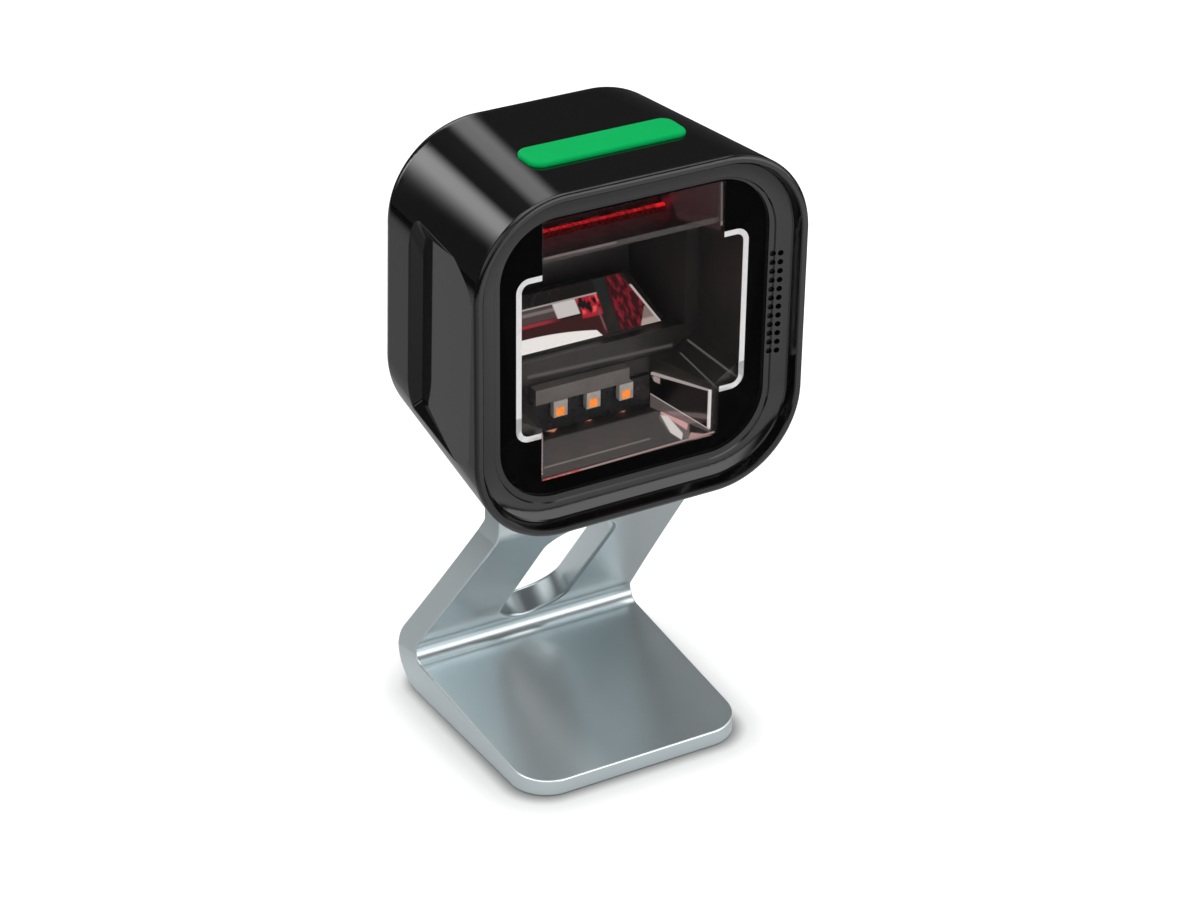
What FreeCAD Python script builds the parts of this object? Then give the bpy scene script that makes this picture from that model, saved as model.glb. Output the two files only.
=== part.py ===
"""Compact presentation barcode scanner: a hinged head on a cast riser stand.

World frame, millimetres: +Z up, the window faces -Y, X to the viewer's right, origin on the
table at the middle of the stand's footprint.

Head pieces are drawn in the head frame: X across, Y = depth behind the front plane, Z up from
the middle of the front face.  save_head leans them forward by PITCH and puts them in place.
Names ending in _X are half widths, unless they come in pairs.
"""
import FreeCAD
import Part
import math
import os

os.makedirs("parts", exist_ok=True)
Vector = FreeCAD.Vector
compound = Part.makeCompound
ORIGIN, X_DIR = Vector(0, 0, 0), Vector(1, 0, 0)
SIDES = (-1, 1)

# ---------------------------------------------------------------- shared sizes, world frame
PITCH = 1.477                        # forward lean of the head, degrees
HEAD_Y, HEAD_Z = -32.98, 108.27      # middle of the front plane
AXIS_Y, AXIS_Z = -9.13, 70.5         # tilt axis
PIN_R = 2.0
BARREL_R, BARREL_X = 4.6, 19.0       # hinge barrel of the stand

# ---------------------------------------------------------------- shared sizes, head frame
HEAD_W, HEAD_H = 82.0, 81.5          # front outline
HEAD_D = 55.48                       # depth on the centre line
FRONT_R = 21.59                      # outline corner radius at the front plane
R_GROWTH = 0.0153                    # growth of that radius per mm of depth
TAPER_X, TAPER_Z = 0.096, 0.033      # inward taper per side, per mm of depth
BACK_LEAN = 0.060                    # back plane leans forward, mm per mm of height
WALL = 2.2
SEAM_Y = 1.2                         # joint between bezel and housing

LAND = 8.0                           # inset of the window from the outline
WINDOW_RISE = 0.5                    # window centre above the outline centre
WINDOW_EXTRA = 0.35                  # added to the window's half height
PANE_Y0 = 4.15
PANE_Y1 = PANE_Y0 + 1.0
FILM_Y1 = PANE_Y1 + 0.15             # back of the mask film
CHASSIS_Y = FILM_Y1 + 1.35           # front of the optical chassis
CHASSIS_SCREWS = [(x, z) for z in (20.5, -20.5) for x in (-33.4, 33.4)]

BAR_X, BAR_Y0, BAR_Y1 = 19.0, 14.6, 24.6             # button bar
BAR_HALF_Y, BAR_MID_Y = (BAR_Y1 - BAR_Y0) / 2, (BAR_Y0 + BAR_Y1) / 2
BAR_R, BAR_Z0 = 3.0, 36.1                            # plan corner radius, underside
BAR_GAP = 0.2

PORT_X, PORT_Y0, PORT_Z0, PORT_Z1 = 8.0, 40.5, -28.0, -16.4
PORT_GAP = 0.3

COVER_X, COVER_Z, COVER_R, COVER_T = 27.0, 31.0, 12.0, 2.2
COVER_GAP = 0.2
BACK_T = 4.4                         # thickness of the back wall
COVER_SCREWS = [(sx * 23.6, sz * 19.5) for sx in SIDES for sz in SIDES]

lean_sin, lean_cos = math.sin(math.radians(PITCH)), math.cos(math.radians(PITCH))
# tilt axis in the head frame
HINGE_Y = lean_cos * (AXIS_Y - HEAD_Y) + lean_sin * (AXIS_Z - HEAD_Z)
HINGE_Z = -lean_sin * (AXIS_Y - HEAD_Y) + lean_cos * (AXIS_Z - HEAD_Z)
BRACKET_Z0 = HINGE_Z + BARREL_R + 0.37               # underside of the bracket plate
BRACKET_SCREWS = [(sx * 15.0, HINGE_Y + sy * 9.0) for sx in SIDES for sy in SIDES]


# ---------------------------------------------------------------- helpers
def box(x0, x1, y0, y1, z0, z1):
    return Part.makeBox(x1 - x0, y1 - y0, z1 - z0, Vector(x0, y0, z0))


def cyl_x(radius, x0, x1, y, z):
    return Part.makeCylinder(radius, x1 - x0, Vector(x0, y, z), X_DIR)


def cyl_y(radius, y0, y1, x, z):
    return Part.makeCylinder(radius, y1 - y0, Vector(x, y0, z), Vector(0, 1, 0))


def cyl_z(radius, z0, z1, x, y):
    return Part.makeCylinder(radius, z1 - z0, Vector(x, y, z0), Vector(0, 0, 1))


def span(side, near, far):
    """Rising pair of X values for a range given on the +X side and used on either side."""
    return sorted((side * near, side * far))


def fuse(first, *others):
    return first.multiFuse(list(others)).removeSplitter()


def loft(wire0, wire1):
    return Part.makeLoft([wire0, wire1], True, True)


def on_plane(plane, at):
    """Map from 2-D to the plane square to axis 'x' (YZ), 'y' (XZ) or 'z' (XY) at that place."""
    return {"x": lambda p: Vector(at, p[0], p[1]),
            "y": lambda p: Vector(p[0], at, p[1]),
            "z": lambda p: Vector(p[0], p[1], at)}[plane]


def extrude(face, plane, length):
    direction = {"x": (length, 0, 0), "y": (0, length, 0), "z": (0, 0, length)}[plane]
    return face.extrude(Vector(*direction))


def corner_wire(corners, plane, at):
    """Closed wire through corners (arc start, arc middle or None if sharp, arc end)."""
    place = on_plane(plane, at)
    edges = []
    for i, (start, middle, end) in enumerate(corners):
        if middle is not None:
            edges.append(Part.Arc(place(start), place(middle), place(end)).toShape())
        following = corners[(i + 1) % len(corners)][0]
        if math.hypot(following[0] - end[0], following[1] - end[1]) > 1e-6:
            edges.append(Part.makeLine(place(end), place(following)))
    return Part.Wire(edges)


def rrect_wire(half_a, half_b, radius, plane, at, mid_a=0.0, mid_b=0.0):
    """Rounded rectangle of half sizes half_a by half_b."""
    radius = max(min(radius, half_a - 1e-3, half_b - 1e-3), 0.05)
    diagonal = radius * math.sqrt(0.5)
    corners = []
    for sa, sb in ((1, 1), (-1, 1), (-1, -1), (1, -1)):
        ca, cb = mid_a + sa * (half_a - radius), mid_b + sb * (half_b - radius)
        start, end = (ca + sa * radius, cb), (ca, cb + sb * radius)
        if sa != sb:
            start, end = end, start
        corners.append((start, (ca + sa * diagonal, cb + sb * diagonal), end))
    return corner_wire(corners, plane, at)


def rrect_prism(half_a, half_b, radius, plane, start, end, mid_a=0.0, mid_b=0.0):
    face = Part.Face(rrect_wire(half_a, half_b, radius, plane, start, mid_a, mid_b))
    return extrude(face, plane, end - start)


def rounded_prism(points, plane, start, end):
    """Prism on a polygon of (a, b, corner radius)."""
    corners = []
    for i, (pa, pb, radius) in enumerate(points):
        if radius <= 0:
            corners.append(((pa, pb), None, (pa, pb)))
            continue
        units = []
        for other in (points[i - 1], points[(i + 1) % len(points)]):
            da, db = other[0] - pa, other[1] - pb
            length = math.hypot(da, db)
            units.append((da / length, db / length))
        back, ahead = units
        angle = math.acos(max(-1, min(1, back[0] * ahead[0] + back[1] * ahead[1])))
        tangent = radius / math.tan(angle / 2)
        ma, mb = back[0] + ahead[0], back[1] + ahead[1]
        length = math.hypot(ma, mb)
        reach = radius / math.sin(angle / 2) - radius    # from the corner to the arc
        corners.append(((pa + back[0] * tangent, pb + back[1] * tangent),
                        (pa + ma / length * reach, pb + mb / length * reach),
                        (pa + ahead[0] * tangent, pb + ahead[1] * tangent)))
    return extrude(Part.Face(corner_wire(corners, plane, start)), plane, end - start)


def polygon_wire(points):
    return Part.Wire(Part.makePolygon(points + [points[0]]))


def polygon_prism(points, plane, start, end):
    place = on_plane(plane, start)
    return extrude(Part.Face(polygon_wire([place(p) for p in points])), plane, end - start)


def edge_middle(edge):
    return edge.valueAt((edge.FirstParameter + edge.LastParameter) / 2)


def try_fillet(shape, edges, radii):
    """Round with the first radius that works, or leave the shape as it is."""
    for radius in radii:
        try:    # guards against a radius the fillet cannot carry round these edges
            rounded = shape.makeFillet(radius, edges)
            if rounded.isValid() and rounded.Volume > 0.5 * shape.Volume:
                return rounded
        except Exception:
            pass
    return shape


def screw(seat, direction, radius, length, head_r, head_h):
    """Pan-head screw with a cross recess: seat is under the head, direction runs to the tip."""
    seat, direction = Vector(*seat), Vector(*direction)
    shape = Part.makeCylinder(radius, length, seat, direction)
    shape = shape.fuse(Part.makeCylinder(head_r, head_h, seat, direction * -1)).removeSplitter()
    turn = FreeCAD.Rotation(Vector(0, 0, 1), direction)
    slot_l, slot_w = head_r * 1.1, 0.35
    for a, b in ((slot_l, slot_w), (slot_w, slot_l)):
        slot = Part.makeBox(a, b, head_h * 0.5, Vector(-a / 2, -b / 2, 0))
        slot.Placement = FreeCAD.Placement(seat - direction * head_h, turn)
        shape = shape.cut(slot)
    return shape


def save(name, shape):
    shape.exportStep("parts/%s.step" % name)


def save_head(name, shape):
    shape = shape.copy()
    shape.rotate(ORIGIN, X_DIR, PITCH)
    shape.translate(Vector(0, HEAD_Y, HEAD_Z))
    save(name, shape)


# ================================================================ stand
BASE_Y0, BASE_Y1 = -32.24, 25.88     # base front edge, inner bend corner
BASE_Z0, BASE_Z1 = 4.105, 9.328      # base top height there
BASE_FRONT_X, BASE_REAR_X = 28.63, 29.45
UNDERSIDE_Z = 0.3
RISER_ANGLE = math.radians(51.767)
RISER_T = 6.74
NECK_Y0, NECK_Y1, NECK_Z1 = -12.50, -5.76, 64.5
SLOT_W, SLOT_START, SLOT_END = 17.9, 5.0, 56.0       # cable slot, measured up the riser
SLOT_OVERSHOOT, SLOT_CUT = 3, 19     # start of the cut before the front face, its depth
BUSH_R = 3.0
PAD_INSET, PAD_REAR_Y, PAD_T, PAD_GAP = 3.2, 20.5, 1.0, 0.15

RISER_SIN, RISER_COS = math.sin(RISER_ANGLE), math.cos(RISER_ANGLE)
RISER_NORMAL = Vector(0, RISER_SIN, RISER_COS)       # from the front face to the rear face
RISER_UP = Vector(0, -RISER_COS, RISER_SIN)
BEND = Vector(0, BASE_Y1, BASE_Z1)
REAR_BEND = BEND + RISER_NORMAL * RISER_T

# half width and height up the side, seen from the front; the middle three carry an arc
SIDE_OUTLINE = [(29.9, -2), (29.9, 9.0), (27.35, 33.0), (25.45, 56.0), (25.40, NECK_Z1 + 2)]


def casting_blank():
    """Side profile cut to its outlines seen from the front and from above."""
    rear_foot_y = REAR_BEND.y - (UNDERSIDE_Z - REAR_BEND.z) * RISER_COS / RISER_SIN
    rear_neck_z = REAR_BEND.z + (REAR_BEND.y - NECK_Y1) * RISER_SIN / RISER_COS
    front_neck_z = BASE_Z1 + (BASE_Y1 - NECK_Y0) * RISER_SIN / RISER_COS
    profile = [                      # y, z, corner radius
        (BASE_Y0, UNDERSIDE_Z, 0.0),
        (rear_foot_y, UNDERSIDE_Z, 9.0),
        (NECK_Y1, rear_neck_z, 3.0),
        (NECK_Y1, NECK_Z1, 0.0),
        (NECK_Y0, NECK_Z1, 0.0),
        (NECK_Y0, front_neck_z, 7.0),
        (BASE_Y1, BASE_Z1, 3.0),
        (BASE_Y0, BASE_Z0, 0.0),
    ]
    body = rounded_prism(profile, "x", -34, 34)

    right = [Vector(x, -60, z) for x, z in SIDE_OUTLINE]
    left = [Vector(-p.x, p.y, p.z) for p in reversed(right)]
    edges = []
    for path, before in ((right, left), (left, right)):
        edges += [Part.makeLine(before[-1], path[0]), Part.makeLine(path[0], path[1]),
                  Part.Arc(*path[1:4]).toShape(), Part.makeLine(path[3], path[4])]
    body = body.common(extrude(Part.Face(Part.Wire(edges)), "y", 120))

    plan = [(-BASE_FRONT_X, BASE_Y0, 9.2), (BASE_FRONT_X, BASE_Y0, 9.2),
            (29.95, 36.0, 0.0), (-29.95, 36.0, 0.0)]     # x, y, corner radius
    return body.common(rounded_prism(plan, "z", -3, 77))


def cable_slot():
    first, last = SLOT_START + SLOT_W / 2, SLOT_END - SLOT_W / 2
    low, high = (BEND + RISER_UP * s - RISER_NORMAL * SLOT_OVERSHOOT for s in (first, last))
    ends = Part.makeCylinder(SLOT_W / 2, SLOT_CUT, low, RISER_NORMAL).fuse(
        Part.makeCylinder(SLOT_W / 2, SLOT_CUT, high, RISER_NORMAL))
    # columns: across, up the riser, through the riser, origin
    matrix = FreeCAD.Matrix(1, 0, 0, -SLOT_W / 2,
                            0, RISER_UP.y, RISER_NORMAL.y, low.y,
                            0, RISER_UP.z, RISER_NORMAL.z, low.z,
                            0, 0, 0, 1)
    middle = Part.makeBox(SLOT_W, last - first, SLOT_CUT).transformGeometry(matrix)
    return fuse(ends, middle)


def slot_rim_edges(shape):
    """Rims of the slot on both riser faces."""
    keep = []
    for edge in shape.Edges:
        bounds = edge.BoundBox
        half_x = max(abs(bounds.XMin), abs(bounds.XMax))
        if half_x < SLOT_W / 2 + 0.05 and bounds.ZMin > 11 and edge.Length > 5:
            depth = (edge_middle(edge) - BEND).dot(RISER_NORMAL)
            if abs(depth) < 0.4 or abs(depth - RISER_T) < 0.4:
                keep.append(edge)
    return keep


def casting_edges(shape):
    """Top outline of the base, and the long edges of the riser and neck, front and rear."""
    keep = []
    for edge in shape.Edges:
        bounds = edge.BoundBox
        if bounds.ZMax < 1.2 or edge.Length < 0.8 or bounds.ZMin > NECK_Z1 - 0.1:
            continue
        middle = edge_middle(edge)
        if abs(middle.x) < SLOT_W / 2 + 1.0 and middle.z > 8:
            continue
        height, depth = bounds.ZMax - bounds.ZMin, abs(bounds.YMax - bounds.YMin)
        if height > 2.5 and depth < 0.6 and bounds.ZMax < 6:
            continue                      # short uprights of the front corners
        if (bounds.XMax - bounds.XMin) > 40 and middle.z > 6:
            continue                      # bend tangent lines across the plate
        keep.append(edge)
    return keep


def pad_prism(gap=0.0):
    inset = PAD_INSET + gap
    front_x, front_y = BASE_FRONT_X - inset, BASE_Y0 + inset
    rear_x, rear_y = BASE_REAR_X - inset, PAD_REAR_Y - gap
    return rounded_prism([(-front_x, front_y, 6.2), (front_x, front_y, 6.2),
                          (rear_x, rear_y, 3.0), (-rear_x, rear_y, 3.0)], "z", 0.0, PAD_T)


def stand_casting():
    body = casting_blank().cut(cable_slot())
    body = try_fillet(body, slot_rim_edges(body), [0.7, 0.5, 0.3])
    body = try_fillet(body, casting_edges(body), [0.45, 0.4, 0.35, 0.3])
    tongue = box(-BARREL_X, BARREL_X, NECK_Y0 + 0.35, NECK_Y1 - 0.35, NECK_Z1 - 2.0, AXIS_Z)
    body = fuse(body, tongue, cyl_x(BARREL_R, -BARREL_X, BARREL_X, AXIS_Y, AXIS_Z))
    body = body.cut(cyl_x(BUSH_R, -30, 30, AXIS_Y, AXIS_Z))
    return body.cut(pad_prism())


def hinge_bushing(side):
    sleeve = cyl_x(BUSH_R, *span(side, BARREL_X - 8.0, BARREL_X), AXIS_Y, AXIS_Z)
    flange = cyl_x(4.3, *span(side, BARREL_X, BARREL_X + 0.6), AXIS_Y, AXIS_Z)
    bore = cyl_x(PIN_R + 0.05, -40, 40, AXIS_Y, AXIS_Z)
    return sleeve.fuse(flange).cut(bore).removeSplitter()


save("stand_casting", stand_casting())
save("foot_pad", pad_prism(PAD_GAP))
save("hinge_bushings", compound([hinge_bushing(side) for side in SIDES]))


# ================================================================ housing shell
INNER_BEND_Y = 33.5                  # the inner side walls run straight behind this depth
INNER_TAPER = 0.184                  # inward taper ahead of it, thicker beside the grips

GRIP_Y0, GRIP_SLOPE = 3.0, 0.079     # start of the grip ramp and its depth per mm
GRIP_Y1, GRIP_DEPTH = 36.3, 2.63     # foot of the rear wall and the depth there
GRIP_REAR_Y = 38.3                   # rear wall at the surface
# upper and lower walls: z near the surface, inset there, z at full depth
GRIP_WALLS = [(25.0, 0.8, 20.4), (-24.0, 0.55, -21.7)]


def outline(inset, y):
    """Head outline at depth y."""
    return rrect_wire(HEAD_W / 2 - TAPER_X * y - inset, HEAD_H / 2 - TAPER_Z * y - inset,
                      FRONT_R + R_GROWTH * y - inset, "y", y)


def inner_outline(y, inset):
    half_x = HEAD_W / 2 - WALL - 0.14 - (min(y, INNER_BEND_Y) - SEAM_Y) * INNER_TAPER
    return rrect_wire(half_x - inset, HEAD_H / 2 - TAPER_Z * y - WALL - inset,
                      FRONT_R - WALL - inset, "y", y)


def inner_space(start_y, inset=0.0):
    """Space inside the shell walls, from start_y back."""
    return fuse(loft(inner_outline(start_y, inset), inner_outline(INNER_BEND_Y, inset)),
                loft(inner_outline(INNER_BEND_Y, inset), inner_outline(60.0, inset)))


def onto_back(shape):
    """Move a shape drawn with the back plane at y = 0 onto the leaning back plane."""
    shape = shape.copy()
    shape.rotate(ORIGIN, X_DIR, math.degrees(math.atan(BACK_LEAN)))
    shape.translate(Vector(0, HEAD_D, 0))
    return shape


def side_x(y, depth):
    """X at a given depth under the +X side surface."""
    return HEAD_W / 2 - TAPER_X * y - depth


def slab_beyond(p, q, r, keep):
    """Large slab on the far side of the plane through p, q, r from the point keep."""
    p, q, r, keep = Vector(*p), Vector(*q), Vector(*r), Vector(*keep)
    normal = (q - p).cross(r - p)
    normal.normalize()
    if (keep - p).dot(normal) > 0:
        normal = normal * -1
    along = q - p
    along.normalize()
    across = normal.cross(along)
    corner = p - along * 150 - across * 150
    slab = Part.makeBox(300, 300, 150)
    slab.Placement = FreeCAD.Placement(FreeCAD.Matrix(
        along.x, across.x, normal.x, corner.x,
        along.y, across.y, normal.y, corner.y,
        along.z, across.z, normal.z, corner.z, 0, 0, 0, 1))
    return slab


def grip_corner_edges(tool, z_min, z_max):
    """Edges where the rear wall of the grip recess meets its upper or lower wall."""
    keep = []
    for edge in tool.Edges:
        middle = edge.CenterOfMass
        run = edge.Vertexes[-1].Point - edge.Vertexes[0].Point
        if edge.Length < 1.5 or middle.y <= 35 or abs(run.x) <= 1.0 or abs(run.z) <= 0.5:
            continue
        if z_min < middle.z < z_max:
            keep.append(edge)
    return keep


def grip_tool():
    """Finger-grip recess on the +X side: a ramp deepening rearwards and three steep walls."""
    def leaned(y, depth, z):
        y -= BACK_LEAN * z
        return side_x(y, depth), y, z

    keep = (side_x(20, 0.2), 20.0, 0.0)
    ramp_depth = GRIP_SLOPE * (GRIP_Y1 - GRIP_Y0)
    tool = box(30, 46, -2, 44, -32, 34)
    tool = tool.cut(slab_beyond(leaned(GRIP_Y0, 0.0, -20), leaned(GRIP_Y0, 0.0, 20),
                                leaned(GRIP_Y1, ramp_depth, 0), (50, 20, 0)))
    tool = tool.cut(slab_beyond(leaned(GRIP_REAR_Y, 0.0, -20), leaned(GRIP_REAR_Y, 0.0, 20),
                                leaned(GRIP_Y1, GRIP_DEPTH, 0), keep))
    for z, inset, deep_z in GRIP_WALLS:
        tool = tool.cut(slab_beyond((side_x(0, inset), 0, z), (side_x(40, inset), 40, z),
                                    (side_x(36, GRIP_DEPTH), 36, deep_z), keep))
    tool = try_fillet(tool, grip_corner_edges(tool, 18, 40), [5.0, 4.0, 3.0])
    return try_fillet(tool, grip_corner_edges(tool, -40, -16), [3.0, 2.0, 1.5])


def grip_lip_edges(shape):
    """Outer rims of both grips, where their walls meet the outside of the shell."""
    keep = []
    for edge in shape.Edges:
        bounds = edge.BoundBox
        if (bounds.YMin < 7.5 or bounds.YMax > 41 or bounds.ZMin < -28 or bounds.ZMax > 28
                or edge.Length < 0.5):
            continue
        middle = edge_middle(edge)
        if abs(middle.x) < 33:
            continue
        radius = FRONT_R + R_GROWTH * middle.y
        into_corner = abs(middle.z) - (HEAD_H / 2 - TAPER_Z * middle.y - radius)
        inset = 0
        if into_corner > 0:
            inset = radius - math.sqrt(max(radius * radius - into_corner * into_corner, 0))
        if abs(abs(middle.x) - (side_x(middle.y, 0) - inset)) < 0.06:
            keep.append(edge)
    return keep


def port_opening():
    return box(-PORT_X - PORT_GAP, PORT_X + PORT_GAP, 45, 60,
               PORT_Z0 - PORT_GAP, PORT_Z1 + PORT_GAP)


def housing_shell():
    outer = loft(outline(0, SEAM_Y), outline(0, 64.0))
    outer = outer.cut(onto_back(box(-60, 60, 0, 40, -70, 70)))
    back_edges = [edge for edge in outer.Edges if edge.BoundBox.YMin > 48]
    outer = try_fillet(outer, back_edges, [6.0, 5.0, 4.0, 3.0])
    inner = inner_space(SEAM_Y - 0.01).cut(onto_back(box(-60, 60, -BACK_T, 40, -70, 70)))
    shell = outer.cut(inner)
    shell = shell.cut(loft(outline(1.1, SEAM_Y - 0.1), outline(1.1, 5.8)))  # bezel rabbet

    grip = grip_tool()
    shell = shell.cut(grip).cut(grip.mirror(ORIGIN, X_DIR))
    shell = try_fillet(shell, grip_lip_edges(shell), [0.8, 0.6, 0.4])

    shell = shell.cut(rrect_prism(BAR_X + BAR_GAP, BAR_HALF_Y + BAR_GAP, BAR_R + BAR_GAP,
                                  "z", 30, 50, 0, BAR_MID_Y))
    # opening in the underside for the hinge barrel
    shell = shell.cut(box(-25.6, 25.6, HINGE_Y - 5.4, HINGE_Y + 5.4, -45, -33.5))
    shell = fuse(shell, *[cyl_z(2.8, -39.3, BRACKET_Z0, x, y) for x, y in BRACKET_SCREWS])
    for x, y in BRACKET_SCREWS:
        shell = shell.cut(cyl_z(0.9, BRACKET_Z0 - 4.6, BRACKET_Z0 + 1, x, y))
    # seat for the cover, then the smaller opening that leaves a ledge under it
    shell = shell.cut(onto_back(rrect_prism(
        COVER_X + COVER_GAP, COVER_Z + COVER_GAP, COVER_R + COVER_GAP,
        "y", -COVER_T - COVER_GAP, 3)))
    shell = shell.cut(onto_back(rrect_prism(21.0, 25.0, 8.0, "y", -8, 3)))
    shell = shell.cut(port_opening())
    for x, z in COVER_SCREWS:
        shell = shell.cut(onto_back(cyl_y(0.9, -BACK_T, 0, x, z)))
    return shell


save_head("housing_shell", housing_shell())


# ================================================================ front bezel
# stations of the recess round the window: inset from the outline, y, and the drift from
# the head outline (0) to the window outline (1)
LIP = [(1.15, -0.60), (2.00, 0.25), (2.70, 2.35)]
BAND = [(3.05, 2.62), (3.75, 2.93), (4.60, 3.21), (5.50, 3.43), (6.40, 3.58)]
SEAT = [(6.66, 3.94, 0.0), (LAND - 0.10, 4.03, 1.0), (LAND - 0.10, FILM_Y1, 1.0)]
OPENING_Z0, OPENING_Z1 = -30.6, 33.15
# grille on the +X side
GRILLE_COLUMNS = (34.1, 35.85)
GRILLE_Z0, GRILLE_PITCH, GRILLE_ROWS, GRILLE_R = -10.7, 2.17, 12, 0.66


def window_prism(y0, y1, inset=0.0):
    return rrect_prism(HEAD_W / 2 - LAND - inset, HEAD_H / 2 - LAND + WINDOW_EXTRA - inset,
                       FRONT_R - LAND - inset, "y", y0, y1, 0, WINDOW_RISE)


def recess_loft(stations, ruled):
    def section(inset, y, drift=0.0):
        return rrect_wire(HEAD_W / 2 - inset, HEAD_H / 2 - inset + WINDOW_EXTRA * drift,
                          FRONT_R - inset, "y", y, 0.0, WINDOW_RISE * drift)
    return Part.makeLoft([section(*station) for station in stations], True, ruled)


def front_bezel():
    bezel = loft(outline(0, 0.0), outline(0, SEAM_Y))
    front_edges = [edge for edge in bezel.Edges if edge.BoundBox.YMax < 0.05]
    bezel = try_fillet(bezel, front_edges, [0.9, 0.7, 0.5])
    bezel = fuse(bezel, loft(outline(1.2, SEAM_Y - 0.2), outline(1.35, 5.6)))
    recess = [recess_loft(LIP + BAND[:1], True), recess_loft(BAND, False),
              recess_loft(BAND[-1:] + SEAT, True)]
    for part in recess:
        bezel = bezel.cut(part)
    # ledge ring behind the seat
    bezel = fuse(bezel, window_prism(FILM_Y1, FILM_Y1 + 1.3, -0.9))
    bezel = bezel.cut(rrect_prism(30.3, (OPENING_Z1 - OPENING_Z0) / 2, 11.0, "y", 4.9, 12,
                                  0, (OPENING_Z1 + OPENING_Z0) / 2))
    holes = compound([cyl_y(GRILLE_R, 1.5, 7.0, x, GRILLE_Z0 + i * GRILLE_PITCH)
                      for x in GRILLE_COLUMNS for i in range(GRILLE_ROWS)])
    pocket = box(33.2, 37.3, 4.55, 7.0, -12.6, 15.0).fuse(
        box(32.2, 37.3, FILM_Y1 + 0.05, 7.0, -12.6, 15.0))
    pocketed = bezel.cut(pocket)
    if pocketed.isValid():           # the speaker pocket is left out if its cut fails
        bezel = pocketed
    bezel = bezel.cut(holes)
    bezel = fuse(bezel, *[cyl_y(2.4, FILM_Y1 + 0.02, 8.0, x, z) for x, z in CHASSIS_SCREWS])
    for x, z in CHASSIS_SCREWS:
        bezel = bezel.cut(cyl_y(0.8, FILM_Y1 + 0.1, 9.0, x, z))
    return bezel


save_head("front_bezel", front_bezel())


# ================================================================ window
TALL_X, TALL_Z0, TALL_Z1 = 22.4, -29.3, 32.7         # tall clear band
WIDE_X, WIDE_Z0, WIDE_Z1 = 28.6, -18.6, 20.5         # wide clear band, outside of its marks
MARK_W, MARK_R = 1.3, 3.2                            # marked line width, outer corner radius


def wide_band(y0, y1, inset=0.0):
    return rrect_prism(WIDE_X - inset, (WIDE_Z1 - WIDE_Z0) / 2 - inset, MARK_R - inset,
                       "y", y0, y1, 0, (WIDE_Z1 + WIDE_Z0) / 2)


def mask_film():
    y0, y1 = PANE_Y1 - 0.5, FILM_Y1 + 0.5
    tall = box(-TALL_X, TALL_X, y0, y1, TALL_Z0, TALL_Z1)
    return window_prism(PANE_Y1, FILM_Y1).cut(tall).cut(wide_band(y0, y1))


def frame_marks():
    marks = wide_band(PANE_Y1, FILM_Y1).cut(wide_band(PANE_Y1 - 0.5, FILM_Y1 + 0.5, MARK_W))
    marks = marks.cut(box(-TALL_X, TALL_X, PANE_Y1 - 1, FILM_Y1 + 1, -40, 40))
    return compound(marks.Solids)


save_head("window_pane", window_prism(PANE_Y0, PANE_Y1))
save_head("mask_film", mask_film())
save_head("frame_marks", frame_marks())


# ================================================================ button bar
LIGHTS_X = (-11.0, 11.0)
FLANGE_OUT = 0.8
SMALL_BOARD_Z0, SMALL_BOARD_Z1 = 33.8, 34.8          # indicator board
SMALL_BOARD_HOLES_X = (-15.2, 15.2)


def button_bar():
    bar = rrect_prism(BAR_X, BAR_HALF_Y, BAR_R, "z", BAR_Z0, 42.0, 0, BAR_MID_Y)
    above = box(-40, 40, -5, 60, 0, 20)    # everything above the bar's sloping top
    above.rotate(ORIGIN, X_DIR, -math.degrees(math.atan(TAPER_Z)))
    above.translate(Vector(0, 0, HEAD_H / 2 + 1.0))
    bar = bar.cut(above)
    top_edges = [edge for edge in bar.Edges if edge.BoundBox.ZMin > 40.5]
    bar = try_fillet(bar, top_edges, [0.8, 0.6, 0.4])
    flange = rrect_prism(BAR_X + FLANGE_OUT, BAR_HALF_Y + 1.0, BAR_R + FLANGE_OUT,
                         "z", BAR_Z0, 37.0, 0, BAR_MID_Y)
    bar = fuse(bar, flange)
    return bar.cut(compound([cyl_z(2.6, 36.0, 38.0, x, BAR_MID_Y) for x in LIGHTS_X]))


def tactile_switch():
    case = box(-2.6, 2.6, BAR_MID_Y - 2.6, BAR_MID_Y + 2.6, SMALL_BOARD_Z1, 35.5)
    return case.cut(cyl_z(1.0, 34.95, 37, 0, BAR_MID_Y))


def indicator_board():
    board = rrect_prism(18.0, 6.0, 1.0, "z", SMALL_BOARD_Z0, SMALL_BOARD_Z1, 0, BAR_MID_Y)
    for x in SMALL_BOARD_HOLES_X:
        board = board.cut(cyl_z(1.1, 33, 36, x, BAR_MID_Y))
    return board


save_head("button_bar", button_bar())
save_head("switch_plunger", cyl_z(0.9, 35.46, BAR_Z0, 0, BAR_MID_Y))
save_head("tactile_switch", tactile_switch())
save_head("indicator_board", indicator_board())
save_head("indicator_leds", compound([
    box(x - 1.4, x + 1.4, BAR_MID_Y - 1.0, BAR_MID_Y + 1.0, SMALL_BOARD_Z1, 35.45)
    for x in LIGHTS_X]))


# ================================================================ optical chassis
MAIN_BOARD_Y0, MAIN_BOARD_Y1 = 46.6, 48.1
MAIN_BOARD_SCREWS = [(sx * 20.5, z) for sx in SIDES for z in (-8.5, 16.5)]
LUG_Y0, LUG_Y1, LUG_R = 8.0, 9.8, 2.4
CAVITY_Y0, CAVITY_Y1 = CHASSIS_Y - 0.5, 24.6
LIGHTBOX_Z0 = -29.3                  # floor of the lower light box
# x, z outline of the broad middle cavity
MIDDLE_CAVITY = [(-22.0, -17.0), (22.0, -17.0), (25.2, -15.0), (28.4, -13.0), (28.4, 19.0),
                 (26.0, 22.3), (-26.0, 22.3), (-28.4, 19.0), (-28.4, -13.0), (-25.2, -15.0)]


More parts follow.
